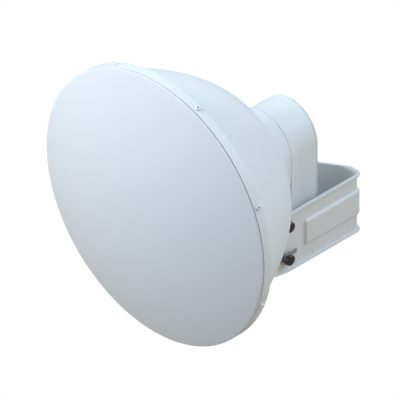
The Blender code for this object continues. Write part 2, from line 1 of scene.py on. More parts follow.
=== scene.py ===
# %% [markdown]
# # A microwave dish antenna on its pole bracket
#
# A small radio dish for a point-to-point link: a shallow radome closes a deep spun bowl, an
# upright radio housing sits behind it, and a pressed U-shaped bracket bolts the whole to a
# pole. The frame holds the plain solids at their real size. This lesson dresses them: each
# solid gets a finer mesh in the same place, and each finish gets its own material.

# %% Load the frame
import math

import bmesh
import bpy
from mathutils import Matrix, Vector


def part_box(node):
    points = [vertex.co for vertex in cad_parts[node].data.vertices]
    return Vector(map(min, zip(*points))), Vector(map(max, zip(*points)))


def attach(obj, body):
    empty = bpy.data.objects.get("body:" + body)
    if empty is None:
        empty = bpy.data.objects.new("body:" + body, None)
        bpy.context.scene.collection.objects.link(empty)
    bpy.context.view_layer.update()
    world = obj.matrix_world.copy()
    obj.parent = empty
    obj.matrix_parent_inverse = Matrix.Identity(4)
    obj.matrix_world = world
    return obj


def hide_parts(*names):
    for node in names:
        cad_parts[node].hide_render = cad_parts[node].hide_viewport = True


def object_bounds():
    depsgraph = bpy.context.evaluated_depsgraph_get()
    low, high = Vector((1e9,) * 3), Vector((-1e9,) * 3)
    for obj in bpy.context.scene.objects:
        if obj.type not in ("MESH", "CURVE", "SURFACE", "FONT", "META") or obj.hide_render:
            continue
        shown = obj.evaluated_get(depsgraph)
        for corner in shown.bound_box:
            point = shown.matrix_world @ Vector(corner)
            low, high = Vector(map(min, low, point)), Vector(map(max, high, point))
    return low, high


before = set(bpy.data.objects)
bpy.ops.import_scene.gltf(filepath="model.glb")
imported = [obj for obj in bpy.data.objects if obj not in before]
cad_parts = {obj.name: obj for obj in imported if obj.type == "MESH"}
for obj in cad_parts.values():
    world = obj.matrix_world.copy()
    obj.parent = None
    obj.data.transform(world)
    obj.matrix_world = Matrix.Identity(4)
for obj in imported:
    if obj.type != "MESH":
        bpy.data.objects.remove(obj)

MM = 0.001
cad_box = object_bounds()
print("CAD box in mm:", [[round(v / MM, 1) for v in corner] for corner in cad_box])

# %% [markdown]
# ## Sizes that come from the frame
#
# A finer piece has to sit where its solid is, so its place is read from the solid's box and
# not typed in again. The rim band gives the dish: its centre line, its radius and the plane
# of the rim. Everything turned about the dish axis is built round the origin, along Y, and
# then moved to that centre.

# %% Read the dish's place
band_low, band_high = (Vector(corner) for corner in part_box("rim_band"))
RIM_RADIUS = (band_high.x - band_low.x) / 2
BAND_WIDTH = band_high.y - band_low.y
RIM_CENTRE = Vector((0, band_low.y, (band_low.z + band_high.z) / 2))
DISH = Matrix.Translation(RIM_CENTRE)
print("rim radius", round(RIM_RADIUS / MM, 1), "mm, centre", [round(v, 4) for v in RIM_CENTRE])

# %% [markdown]
# ## Camera
#
# The picture to match is an isometric view from the front right: 45 degrees round, and so
# high that all three axes look equally short, with nothing that shrinks with depth. No lens
# draws that, but an orthographic camera does: it sees the same width near and far, and that
# width is all it needs. Its aim is worked out from where the rim's centre lies in the
# 400 x 400 picture.

# %% Camera
PICTURE = 400                        # pixels across
RIM_PIXEL = (156.3, 206.2)           # the rim's centre in the picture
PIXEL = 1.2372 * MM                  # real size of a pixel, at the object
CAMERA_DISTANCE = 2.0                # clear of the object, and nearer than the lamps

azimuth, elevation = math.radians(45), math.asin(1 / math.sqrt(3))
towards = Vector((math.sin(azimuth) * math.cos(elevation),
                  -math.cos(azimuth) * math.cos(elevation), math.sin(elevation)))
right = Vector((math.cos(azimuth), math.sin(azimuth), 0))
up = towards.cross(right)
look_at = (RIM_CENTRE + right * (PICTURE / 2 - RIM_PIXEL[0]) * PIXEL
           - up * (PICTURE / 2 - RIM_PIXEL[1]) * PIXEL)

isometric = bpy.data.cameras.new("camera")
isometric.type = "ORTHO"
isometric.ortho_scale = PICTURE * PIXEL
camera = bpy.data.objects.new("camera", isometric)
camera.location = look_at + towards * CAMERA_DISTANCE
camera.rotation_euler = (-towards).to_track_quat("-Z", "Y").to_euler()
bpy.context.scene.collection.objects.link(camera)
bpy.context.scene.camera = camera
print("camera looks at", [round(v, 4) for v in look_at], "up", [round(v, 3) for v in up])

# %% [markdown]
# ## Floor and light
#
# A catalogue picture is taken on a lit table: the floor and the wall behind shine so
# brightly that they print as paper white, and no shadow is left on them. Here both are
# white to the camera alone. To everything else the floor gives back a warm, dimmer light,
# and the room a cool one. A Light Path node tells the two apart.

# %% Floor and room
FLOOR_DROP = 0.6                     # below the object, which hangs on a pole in use
PAPER_WHITE = (1.0, 1.0, 1.0)
FLOOR_GLOW = (0.389, 0.357, 0.298)
ROOM_GLOW = (0.295, 0.324, 0.410)


def white_to_camera(tree, shader_type, glow, output):
    """Light of one colour for the scene, and paper white where the camera looks."""
    rays = tree.nodes.new("ShaderNodeLightPath")
    mix = tree.nodes.new("ShaderNodeMixShader")
    tree.links.new(rays.outputs["Is Camera Ray"], mix.inputs["Fac"])
    for socket, colour in zip(mix.inputs[1:], (glow, PAPER_WHITE)):
        light = tree.nodes.new(shader_type)
        light.inputs["Color"].default_value = (*colour, 1)
        tree.links.new(light.outputs[0], socket)
    tree.links.new(mix.outputs["Shader"], output.inputs["Surface"])


bpy.context.scene.view_settings.view_transform = "Standard"
room = bpy.data.worlds.new("studio")
room.use_nodes = True
room.node_tree.nodes.clear()
white_to_camera(room.node_tree, "ShaderNodeBackground", ROOM_GLOW,
                room.node_tree.nodes.new("ShaderNodeOutputWorld"))
bpy.context.scene.world = room

bm = bmesh.new()
bmesh.ops.create_grid(bm, x_segments=1, y_segments=1, size=15)
floor_mesh = bpy.data.meshes.new("floor")
bm.to_mesh(floor_mesh)
bm.free()
floor = bpy.data.objects.new("floor", floor_mesh)
floor.location.z = cad_box[0][2] - FLOOR_DROP
bpy.context.scene.collection.objects.link(floor)
floor_paint = bpy.data.materials.new("floor_paint")
floor_paint.use_nodes = True
floor_paint.node_tree.nodes.clear()
white_to_camera(floor_paint.node_tree, "ShaderNodeEmission", FLOOR_GLOW,
                floor_paint.node_tree.nodes.new("ShaderNodeOutputMaterial"))
floor_mesh.materials.append(floor_paint)

# %% [markdown]
# The shape is drawn by six soft boxes, all 3 m off. Two big ones in front on the left give
# the radome its slow fall of tone towards the lower right. Two behind on the right light the
# bracket's outside, one cool and one warm, and leave its inside dark. A weak one fills in
# from behind, and one over the dish brings out what faces up.

# %% Lamps
LAMP_DISTANCE, LAMP_SIZE = 3.0, 1.8


def lamp(name, azimuth, elevation, power, colour):
    """A square soft box. Azimuth 0 is in front of the radome, and 90 on its right."""
    light = bpy.data.lights.new(name, "AREA")
    light.size = LAMP_SIZE
    light.energy = power
    light.color = colour
    obj = bpy.data.objects.new(name, light)
    turn, rise = math.radians(azimuth), math.radians(elevation)
    way = Vector((math.sin(turn) * math.cos(rise), -math.cos(turn) * math.cos(rise),
                  math.sin(rise)))
    obj.location = RIM_CENTRE + way * LAMP_DISTANCE
    obj.rotation_euler = (-way).to_track_quat("-Z", "Y").to_euler()
    bpy.context.scene.collection.objects.link(obj)
    print(name, "at", [round(v, 2) for v in obj.location])


lamp("front_left", 324, 36, 68, (0.757, 0.886, 1.0))
lamp("left", 288, 36, 28, (1.0, 0.695, 0.35))
lamp("over_left", 288, 64, 12, (0.34, 0.91, 1.0))
lamp("back_right", 144, 36, 41, (0.553, 0.79, 1.0))
lamp("right", 108, 36, 19, (1.0, 0.715, 0.355))
lamp("back_left", 210, 6, 10, (0.79, 0.94, 1.0))

# %% [markdown]
# ## Shared texture groups
#
# Paint and plastic both have a skin that is never quite flat or even. One node group makes
# it from noise: a fine orange peel for the bump, a slow drift of tone, and a drift of
# gloss. A second group darkens creases by how much of the surroundings a point sees: painted
# shade. A third lightens edges: rubbing, and on the dark bolts a painted highlight. Each puts
# out only masks and values, and each material places them with its own numbers.


# %% Start a node group
def new_group(name, inputs, outputs):
    """A shader node group with float sockets, and its input and output nodes."""
    group = bpy.data.node_groups.new(name, "ShaderNodeTree")
    for socket, value in inputs.items():
        made = group.interface.new_socket(socket, in_out="INPUT", socket_type="NodeSocketFloat")
        made.default_value = value
    for socket in outputs:
        group.interface.new_socket(socket, in_out="OUTPUT", socket_type="NodeSocketFloat")
    start = group.nodes.new("NodeGroupInput")
    end = group.nodes.new("NodeGroupOutput")
    return group, start, end


def noise(tree, coordinates, detail, scale=None):
    """A noise texture on object coordinates. Its scale is a number or a socket."""
    node = tree.nodes.new("ShaderNodeTexNoise")
    node.inputs["Detail"].default_value = detail
    tree.links.new(coordinates, node.inputs["Vector"])
    if isinstance(scale, (int, float)):
        node.inputs["Scale"].default_value = scale
    else:
        tree.links.new(scale, node.inputs["Scale"])
    return node.outputs["Fac"]


def maths(tree, operation, a, b=None, c=None, clamp=False):
    """A Math node whose inputs are numbers or sockets."""
    node = tree.nodes.new("ShaderNodeMath")
    node.operation = operation
    node.use_clamp = clamp
    for socket, value in zip(node.inputs, (a, b, c)):
        if isinstance(value, (int, float)):
            socket.default_value = value
        elif value is not None:
            tree.links.new(value, socket)
    return node.outputs["Value"]


# %% Skin: orange peel, tone and gloss
skin_group, start, end = new_group(
    "skin", {"Peel Scale": 700.0, "Tone": 0.03, "Gloss": 0.4, "Gloss Drift": 0.06},
    ("Shade", "Roughness", "Height"))
where = skin_group.nodes.new("ShaderNodeTexCoord").outputs["Object"]
peel = noise(skin_group, where, 2, start.outputs["Peel Scale"])
drift = noise(skin_group, where, 3, 9.0)
patch = noise(skin_group, where, 4, 60.0)
tone = maths(skin_group, "SUBTRACT", maths(skin_group, "ADD", drift, patch), 1.0)
shade = maths(skin_group, "MULTIPLY_ADD", tone, start.outputs["Tone"], 1.0)
gloss = maths(skin_group, "MULTIPLY_ADD", maths(skin_group, "SUBTRACT", patch, 0.5),
              start.outputs["Gloss Drift"], start.outputs["Gloss"])
for value, socket in ((shade, "Shade"), (gloss, "Roughness"), (peel, "Height")):
    skin_group.links.new(value, end.inputs[socket])

# %% Painted shade in creases
# Painted shade: the colour is darkened where little of the surroundings is seen, as in creases and
# corners.
painted_shade_group, start, end = new_group("painted_crevice_shade", {"Reach": 0.006, "Amount": 0.3}, ("Shade",))
seen = painted_shade_group.nodes.new("ShaderNodeAmbientOcclusion")
seen.samples = 8
painted_shade_group.links.new(start.outputs["Reach"], seen.inputs["Distance"])
hidden = maths(painted_shade_group, "SUBTRACT", 1.0, seen.outputs["AO"])
hidden = maths(painted_shade_group, "POWER", hidden, 1.5)
dark = maths(painted_shade_group, "MULTIPLY", hidden, start.outputs["Amount"])
painted_shade_group.links.new(maths(painted_shade_group, "SUBTRACT", 1.0, dark), end.inputs["Shade"])

# %% Lighter edges: rubbing and painted highlight
# Lightens sharp edges: rubbing, and on the dark bolts a painted highlight.
rub_and_highlight_group, start, end = new_group("rubbed_and_highlit_edges", {"Spread": 12.0, "Amount": 0.5}, ("Mask",))
where = rub_and_highlight_group.nodes.new("ShaderNodeTexCoord").outputs["Object"]
sharpness = rub_and_highlight_group.nodes.new("ShaderNodeNewGeometry").outputs["Pointiness"]
raised = maths(rub_and_highlight_group, "SUBTRACT", sharpness, 0.5)
raised = maths(rub_and_highlight_group, "MULTIPLY", raised, start.outputs["Spread"], clamp=True)
broken = maths(rub_and_highlight_group, "MULTIPLY", raised, noise(rub_and_highlight_group, where, 5, 300.0))
mask = maths(rub_and_highlight_group, "MULTIPLY", broken, start.outputs["Amount"], clamp=True)
rub_and_highlight_group.links.new(mask, end.inputs["Mask"])
print("groups:", [group.name for group in bpy.data.node_groups])

# %% [markdown]
# ## Finishes
#
# Five of the seven finishes are a white coat or plastic over the same skin group. They
# differ in colour, gloss and grain: the radome is smooth moulded plastic, the bowl a fine
# powder coat, the bracket a thicker one, the housing a spark-eroded plastic. The two metals
# are zinc plate on washers and nuts, and black oxide on the bolts. Their edges are lighter:
# rubbing, and on the bolts also a painted highlight. All finishes carry painted shade in their
# creases.


# %% Coated and moulded surfaces
def place_group(tree, group, **values):
    node = tree.nodes.new("ShaderNodeGroup")
    node.node_tree = group
    for socket, value in values.items():
        node.inputs[socket.replace("_", " ")].default_value = value
    return node


def tint(tree, colour, shade):
    """A colour times a shade."""
    node = tree.nodes.new("ShaderNodeVectorMath")
    node.operation = "SCALE"
    if isinstance(colour, tuple):
        node.inputs[0].default_value = colour
    else:
        tree.links.new(colour, node.inputs[0])
    tree.links.new(shade, node.inputs["Scale"])
    return node.outputs["Vector"]


def bump(tree, height, depth):
    node = tree.nodes.new("ShaderNodeBump")
    node.inputs["Distance"].default_value = depth
    node.inputs["Strength"].default_value = 1.0
    tree.links.new(height, node.inputs["Height"])
    return node.outputs["Normal"]


def coated(name, colour, peel_scale, depth, gloss, tone=0.03, drift=0.08, painted_shade_amount=0.35):
    """White paint or plastic: one colour, broken up by the skin group, with painted shade in its
    creases.
    """
    mat = bpy.data.materials.new(name)
    mat.use_nodes = True
    tree = mat.node_tree
    shader = tree.nodes["Principled BSDF"]
    skin = place_group(tree, skin_group, Peel_Scale=peel_scale, Tone=tone, Gloss=gloss,
                       Gloss_Drift=drift)
    # Painted shade in creases, multiplied into the colour.
    crease_shade = place_group(tree, painted_shade_group, Amount=painted_shade_amount)
    shade = maths(tree, "MULTIPLY", skin.outputs["Shade"], crease_shade.outputs["Shade"])
    tree.links.new(tint(tree, colour, shade), shader.inputs["Base Color"])
    tree.links.new(skin.outputs["Roughness"], shader.inputs["Roughness"])
    tree.links.new(bump(tree, skin.outputs["Height"], depth), shader.inputs["Normal"])
    shader.inputs["IOR"].default_value = 1.48
    print(name, "colour", colour)
    return mat


radome_plastic = coated("radome_plastic", (0.78, 0.82, 0.86), 900, 0.006 * MM, 0.38)
bowl_paint = coated("bowl_paint", (0.78, 0.82, 0.84), 700, 0.012 * MM, 0.42)
bracket_paint = coated("bracket_paint", (0.74, 0.77, 0.78), 500, 0.025 * MM, 0.40, tone=0.05)
screw_paint = coated("screw_paint", (0.84, 0.87, 0.88), 900, 0.006 * MM, 0.35)
housing_plastic = coated("housing_plastic", (0.76, 0.80, 0.81), 1500, 0.03 * MM, 0.5)


# %% Bare and blackened metal
def metal(name, colour, rubbed_and_lit, gloss, edge, grain=220.0):
    """Plated or blackened steel, lighter on its edges from rubbing and, on the bolts, a painted
    highlight; painted shade in its creases.
    """
    mat = bpy.data.materials.new(name)
    mat.use_nodes = True
    tree = mat.node_tree
    shader = tree.nodes["Principled BSDF"]
    skin = place_group(tree, skin_group, Peel_Scale=grain, Tone=0.35, Gloss=gloss,
                       Gloss_Drift=0.25)
    # Painted shade in creases, multiplied into the colour.
    crease_shade = place_group(tree, painted_shade_group, Reach=0.003, Amount=0.5)
    # Lighter edges: rubbing, and on the dark bolts a painted highlight.
    rub_and_highlight = place_group(tree, rub_and_highlight_group, Amount=edge)
    mix = tree.nodes.new("ShaderNodeMix")
    mix.data_type = "RGBA"
    mix.inputs["A"].default_value = (*colour, 1)
    mix.inputs["B"].default_value = (*rubbed_and_lit, 1)
    tree.links.new(rub_and_highlight.outputs["Mask"], mix.inputs["Factor"])
    shade = maths(tree, "MULTIPLY", skin.outputs["Shade"], crease_shade.outputs["Shade"])
    tree.links.new(tint(tree, mix.outputs["Result"], shade), shader.inputs["Base Color"])
    tree.links.new(skin.outputs["Roughness"], shader.inputs["Roughness"])
    tree.links.new(bump(tree, skin.outputs["Height"], 0.01 * MM), shader.inputs["Normal"])
    shader.inputs["Metallic"].default_value = 1.0
    print(name, "colour", colour)
    return mat


zinc_steel = metal("zinc_steel", (0.50, 0.52, 0.53), (0.75, 0.76, 0.77), 0.34, 0.5)
# The bolts' lighter edge colour is partly a painted highlight, standing for the bright flank of the
# head.
dark_bolt = metal("dark_bolt", (0.040, 0.034, 0.033), (0.45, 0.44, 0.43), 0.32, 0.6)

# %% [markdown]
# ## Mesh helpers
#
# Nearly every piece here is either turned, like the radome, or swept, like the bracket. Both
# are rows of points joined by quads. A corner that is rounded in the outline gives a soft
# edge all round the piece, which catches the light as a pressed or moulded edge does.


# %% Outlines and skins
def rounded(corners, steps=5):
    """Closed outline through (u, v) or (u, v, radius) corners, with the radii as arcs."""
    outline = []
    for i, corner in enumerate(corners):
        here, radius = Vector(corner[:2]), corner[2] if len(corner) > 2 else 0
        if radius == 0:
            outline.append((here.x, here.y))
            continue
        before = (Vector(corners[i - 1][:2]) - here).normalized()
        after = (Vector(corners[(i + 1) % len(corners)][:2]) - here).normalized()
        half = before.angle(after) / 2
        centre = here + (before + after).normalized() * radius / math.sin(half)
        first = here + before * radius / math.tan(half) - centre
        last = here + after * radius / math.tan(half) - centre
        begin = math.atan2(first.y, first.x)
        sweep = (math.atan2(last.y, last.x) - begin + math.pi) % math.tau - math.pi
        outline += [(centre.x + radius * math.cos(begin + sweep * k / steps),
                     centre.y + radius * math.sin(begin + sweep * k / steps))
                    for k in range(steps + 1)]
    return outline


def skin(bm, rows):
    """Quads between neighbouring closed rows. Corners that coincide give a triangle."""
    for near, far in zip(rows, rows[1:]):
        for k in range(len(near)):
            corners = dict.fromkeys((near[k - 1], near[k], far[k], far[k - 1]))
            if len(corners) > 2:
                bm.faces.new(tuple(corners))


def turned(outline, steps):
    """Turn a (y, r) outline about the Y axis. From the axis to the axis, or a ring."""
    bm = bmesh.new()
    turns = [math.tau * k / steps for k in range(steps)]
    rows = []
    for y, r in outline:
        if r < 1e-9:
            rows.append([bm.verts.new((0, y, 0))] * steps)
        else:
            rows.append([bm.verts.new((r * math.cos(a), y, r * math.sin(a))) for a in turns])
    if outline[0][1] > 1e-9:
        rows.append(rows[0])
    skin(bm, rows)
    return bm


# %% Finish a piece
def piece(name, bm, mat, slot, body, *nodes, place=None, crease=35):
    """Make the object, give it its body and material, and hide the nodes it stands for. The slot
    argument is not used.
    """
    if place is not None:
        bmesh.ops.transform(bm, matrix=place, verts=bm.verts[:])
    bmesh.ops.recalc_face_normals(bm, faces=bm.faces[:])
    mesh = bpy.data.meshes.new(name)
    bm.to_mesh(mesh)
    bm.free()
    mesh.materials.append(mat)
    mesh.shade_smooth()
    mesh.set_sharp_from_angle(angle=math.radians(crease))
    obj = bpy.data.objects.new(name, mesh)
    bpy.context.scene.collection.objects.link(obj)
    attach(obj, body)
    if nodes:
        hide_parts(*nodes)
    print(name, len(mesh.polygons), "faces")
    return obj


# %% [markdown]
# ## Radome
#
# The radome is a shallow plastic dome that keeps rain out of the dish. It has a short
# straight edge, and behind that a skirt that drops into the rim band. The edge stops just
# short of the band, which leaves the thin dark line seen round the front.

# %% Radome
REVEAL = 1.2 * MM                    # dark joint between radome and band
RADOME_LIP = 2 * MM                  # straight edge ahead of the joint
RADOME_WALL = 2.5 * MM
BAND_WALL = 2.5 * MM
COLLAR_RADIUS = 181.6 * MM           # of the bowl's front collar
GAP = 0.3 * MM

edge_front = -REVEAL - RADOME_LIP
dome_height = RIM_CENTRE.y + edge_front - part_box("radome")[0][1]
dome_sphere = (RIM_RADIUS ** 2 + dome_height ** 2) / (2 * dome_height)


def dome(radius, inset):
    """Where the dome's face lies along the axis, at a radius."""
    flat = math.sqrt(dome_sphere ** 2 - RIM_RADIUS ** 2)
    return edge_front + flat - math.sqrt((dome_sphere - inset) ** 2 - radius ** 2)


rings = 44
skirt_outer = RIM_RADIUS - BAND_WALL - GAP
skirt_inner = COLLAR_RADIUS + GAP
dome_edge = RIM_RADIUS - 3 * MM
outline = [(dome(dome_edge * k / rings, 0), dome_edge * k / rings) for k in range(rings + 1)]
outline += [(edge_front, RIM_RADIUS, 1.2 * MM), (-REVEAL, RIM_RADIUS, 0.3 * MM),
            (-REVEAL, skirt_outer), (10 * MM, skirt_outer), (10 * MM, skirt_inner)]
outline += [(dome(skirt_inner * k / rings, RADOME_WALL), skirt_inner * k / rings)
            for k in range(rings, -1, -1)]
radome = piece("radome_dome", turned(rounded(outline), 180), radome_plastic, "radome_plastic",
               "antenna", "radome", place=DISH)

# %% [markdown]
# ## Rim band and its screws
#
# The band is a strip of painted sheet round the skirt, with a rolled rear edge. Eight screws
# go in through it all round. Each has a low round head with a six-cornered socket, painted
# over like the band, so it shows as a small white dome.

# %% Rim band
band_inner = RIM_RADIUS - BAND_WALL
band_throat = 182.7 * MM             # the flange behind the band closes to here
outline = rounded([(0, band_inner), (0, RIM_RADIUS, 0.6 * MM),
                   (BAND_WIDTH, RIM_RADIUS, 1.8 * MM), (BAND_WIDTH, band_throat, 0.5 * MM),
                   (BAND_WIDTH - 2 * MM, band_throat), (BAND_WIDTH - 2 * MM, band_inner)])
piece("rim_band_ring", turned(outline, 180), bowl_paint, "bowl_paint", "antenna", "rim_band",
      place=DISH)


# %% Rim screws
def aim(direction, origin):
    """Matrix that carries +Y to a direction and the origin to a point."""
    turn = Vector((0, 1, 0)).rotation_difference(direction).to_matrix().to_4x4()
    return Matrix.Translation(origin) @ turn


def middle(node):
    low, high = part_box(node)
    return (Vector(low) + Vector(high)) / 2


def dome_head(radius, height, shank, length, socket):
    """Low round head on a shank, with a six-sided socket in its top."""
    steps, sides = 36, 6
    bm = bmesh.new()
    turns = [math.tau * k / steps for k in range(steps)]
    across = [socket * math.cos(math.pi / sides)
              / math.cos((a + math.pi / sides) % (math.tau / sides) - math.pi / sides)
              for a in turns]
    rows = [[bm.verts.new((0, -length, 0))] * steps]
    outline = [(-length, shank), (0, shank), (0, radius)]
    outline += [(height * math.sin(a), radius * (1 - 0.45 * (1 - math.cos(a))))
                for a in (math.radians(12 * k) for k in range(1, 7))]
    for y, r in outline:
        rows.append([bm.verts.new((r * math.cos(a), y, r * math.sin(a))) for a in turns])
    for y, scale in ((height, 1.0), (height - 0.2 * MM, 0.94), (0.35 * height, 0.94)):
        rows.append([bm.verts.new((scale * s * math.cos(a), y, scale * s * math.sin(a)))
                     for a, s in zip(turns, across)])
    rows.append([bm.verts.new((0, 0.35 * height, 0))] * steps)
    skin(bm, rows)
    return bm


SCREW_HEAD, SCREW_HEIGHT = 4.1 * MM, 2.6 * MM
screws = sorted(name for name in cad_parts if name.startswith("rim_screw_"))
for name in screws:
    centre = middle(name)
    outward = Vector((centre.x, 0, centre.z - RIM_CENTRE.z)).normalized()
    seat = Vector((0, centre.y, RIM_CENTRE.z)) + outward * RIM_RADIUS
    piece(name + "_head", dome_head(SCREW_HEAD, SCREW_HEIGHT, 2 * MM, 9 * MM, 1.7 * MM),
          screw_paint, "screw_paint", "antenna", name, place=aim(outward, seat))

# %% [markdown]
# ## Bowl and neck
#
# The bowl is spun from one sheet: a sphere about the rim's centre that flares towards the
# band. Behind, the sphere sweeps out into a neck, first round and then arch-shaped, which
# meets the housing. Sampling a radius for each row and each angle covers all of it with one
# mesh, so no joint shows where the sphere becomes the neck.

# %% Shape of the bowl and neck
BOWL_RADIUS = 167.5 * MM
BOWL_WALL = 2 * MM
FLARE, FLARE_DEPTH = 18 * MM, 105 * MM
NECK_START = 150 * MM                             # where the neck leaves the sphere
ARCH_START, ARCH_END = 150 * MM, 175 * MM         # from round to arch-shaped
NECK_DROP = 48 * MM
HOUSING_FRONT = 187 * MM
FLARE_END = 205 * MM
HOUSING_RADIUS = 47 * MM
NECK_PULL, HOUSING_PULL = 0.5, 0.55  # how long the sweep holds the slope of each neighbour


def smooth(x):
    x = min(1.0, max(0.0, x))
    return x * x * (3 - 2 * x)


def bezier(p, t):
    s = 1 - t
    return s ** 3 * p[0] + 3 * s * s * t * p[1] + 3 * s * t * t * p[2] + t ** 3 * p[3]


def bowl_line(y):
    """Radius of the sphere with its flared front."""
    return math.sqrt(BOWL_RADIUS ** 2 - y ** 2) + FLARE * max(0.0, 1 - y / FLARE_DEPTH) ** 2


def neck_line(y):
    """Radius of the neck, which leaves the sphere and ends on the housing's wall."""
    if y <= NECK_START:
        return bowl_line(y)
    if y >= FLARE_END:
        return HOUSING_RADIUS
    first = math.sqrt(BOWL_RADIUS ** 2 - NECK_START ** 2)
    fall = first - HOUSING_RADIUS
    corner = NECK_START + fall * first / NECK_START
    ends = (NECK_START, NECK_START + NECK_PULL * (corner - NECK_START),
            FLARE_END - HOUSING_PULL * (FLARE_END - corner), FLARE_END)
    radii = (first, first - NECK_PULL * fall, HOUSING_RADIUS, HOUSING_RADIUS)
    low, high = 0.0, 1.0
    for _ in range(30):
        t = (low + high) / 2
        low, high = (t, high) if bezier(ends, t) < y else (low, t)
    return bezier(radii, low)


def arch_ratio(angle, radius):
    """Distance to an arch-topped outline over its radius, at an angle from +X."""
    if math.sin(angle) >= 0:
        return 1.0
    side = max(abs(math.cos(angle)), 0.01)
    base = max(abs(math.sin(angle)), 0.01) * radius / NECK_DROP
    return (side ** 7 + base ** 7) ** (-1 / 7)


def bowl_row(y, steps):
    """Outer radii of bowl and neck at one place along the axis."""
    radius = neck_line(y)
    share = smooth((y - ARCH_START) / (ARCH_END - ARCH_START))
    return [radius * (1 + share * (arch_ratio(math.tau * k / steps, radius) - 1))
            for k in range(steps)]


print("neck radius at the housing:", round(neck_line(HOUSING_FRONT) / MM, 1), "mm")

# %% Bowl
steps = 200
places = [BAND_WIDTH + (NECK_START - BAND_WIDTH) * math.sin(math.pi / 2 * k / 30)
          for k in range(31)]
rear = HOUSING_FRONT - GAP / 2
places += [NECK_START + (rear - NECK_START) * k / 30 for k in range(1, 31)]
rows = [(2 * MM, [COLLAR_RADIUS] * steps), (10.5 * MM, [COLLAR_RADIUS] * steps)]
rows += [(y, bowl_row(y, steps)) for y in places]
last = rows.pop()
rows += [(last[0] - 0.6 * MM, last[1]), (last[0] - 0.15 * MM, [r - 0.15 * MM for r in last[1]]),
         (last[0], [r - 0.6 * MM for r in last[1]])]
inner = []
for (y0, near), (y1, far) in zip(rows[2:], rows[3:-1]):
    run, fall = y1 - y0, near[0] - far[0]
    lean = math.hypot(run, fall)
    inner.append(((y0 + y1) / 2 - BOWL_WALL * fall / lean,
                  [(a + b) / 2 - BOWL_WALL * run / lean for a, b in zip(near, far)]))
inner = [(2 * MM, [COLLAR_RADIUS - BOWL_WALL] * steps)] + inner
inner.append((last[0], [r - BOWL_WALL for r in last[1]]))
bm = bmesh.new()
loops = [[bm.verts.new((r * math.cos(math.tau * k / steps), y, r * math.sin(math.tau * k / steps)))
          for k, r in enumerate(radii)] for y, radii in rows + inner[::-1]]
skin(bm, loops + loops[:1])
piece("bowl_and_neck", bm, bowl_paint, "bowl_paint", "antenna", "reflector_bowl", "bowl_neck",
      place=DISH)

# %% [markdown]
# ## Radio housing
#
# The housing is a moulded box with an arched top. Its sides carry fine ribs that run front
# to back, in one group near the top and one lower down, with a plain stretch between. A
# section is an outline of many points, whose sides are pushed out where a rib passes, and
# the ribs fade in behind the flare of the neck.

# %% Section of the housing
RIB_PITCH, RIB_WIDTH, RIB_HEIGHT = 5.1 * MM, 2.4 * MM, 0.35 * MM
UPPER_RIBS = (-2.7 * MM, 6)          # first rib below the dish axis, and how many
LOWER_RIBS = (-50.4 * MM, 18)
RIB_START, RIB_END = 195 * MM, 234 * MM
CORNER = 8 * MM
SIDE_STEPS = 250                     # points down each side, several to a rib
ribs = [first - RIB_PITCH * k for first, count in (UPPER_RIBS, LOWER_RIBS) for k in range(count)]


def rib(z):
    """How far a side stands out at a height, as a share of a rib."""
    nearest = min(abs(z - centre) for centre in ribs)
    return math.cos(math.pi / 2 * min(1.0, 2 * nearest / RIB_WIDTH)) ** 2


def housing_section(radius, drop, raised):
    """(x, z) points round the arch, down one side, under the box and up the other."""
    outline = [(radius * math.cos(math.pi * k / 48), radius * math.sin(math.pi * k / 48))
               for k in range(49)]
    side = drop - CORNER
    left = [(-radius - raised * rib(-side * k / SIDE_STEPS), -side * k / SIDE_STEPS)
            for k in range(1, SIDE_STEPS + 1)]
    bend = [(CORNER * math.sin(math.radians(15 * k)), CORNER * math.cos(math.radians(15 * k)))
            for k in range(1, 7)]
    outline += left
    outline += [(-radius + CORNER - b, -side - a) for a, b in bend]
    outline += [(radius - CORNER + b, -side - a) for a, b in reversed(bend)]
    outline += [(-x, z) for x, z in reversed(left)]
    return outline


def housing_rows(bm, stations):
    return [[bm.verts.new((x, y, z)) for x, z in housing_section(radius, drop, raised)]
            for y, radius, drop, raised in stations]


# %% Housing body
body_low, body_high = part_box("housing_body")
cover_low, cover_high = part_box("housing_back_cover")
cap_low, cap_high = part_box("housing_bottom_cap")
front = body_low[1] - RIM_CENTRE.y
joint = body_high[1] - RIM_CENTRE.y
drop = RIM_CENTRE.z - body_low[2]
rear_radius = cover_high[0]
wall = 2.5 * MM


def side_radius(y):
    """Outer radius of the housing, flared in front and drafted behind."""
    draft = (HOUSING_RADIUS - rear_radius) * max(0.0, (y - FLARE_END) / (joint - FLARE_END))
    return neck_line(y) - draft


def rib_share(y):
    return smooth((y - RIB_START) / (2.5 * MM)) * smooth((RIB_END - y) / (2 * MM))


stations = [(front, side_radius(front) - 0.8 * MM, drop - 0.8 * MM, 0),
            (front + 0.25 * MM, side_radius(front) - 0.2 * MM, drop - 0.2 * MM, 0),
            (front + 0.8 * MM, side_radius(front), drop, 0)]
count = 26
for k in range(1, count + 1):
    y = front + 0.8 * MM + (joint - front - 1.1 * MM) * k / count
    stations.append((y, side_radius(y), drop, RIB_HEIGHT * rib_share(y)))
stations.append((joint, side_radius(joint) - 0.3 * MM, drop - 0.3 * MM, 0))
stations += [(joint, side_radius(joint) - wall, drop - wall, 0),
             (front + wall, side_radius(joint) - wall, drop - wall, 0)]
bm = bmesh.new()
loops = housing_rows(bm, stations)
skin(bm, loops)
bm.faces.new(loops[0])
bm.faces.new(loops[-1])
piece("housing_ribbed_body", bm, housing_plastic, "housing_plastic", "antenna", "housing_body",
      place=DISH)

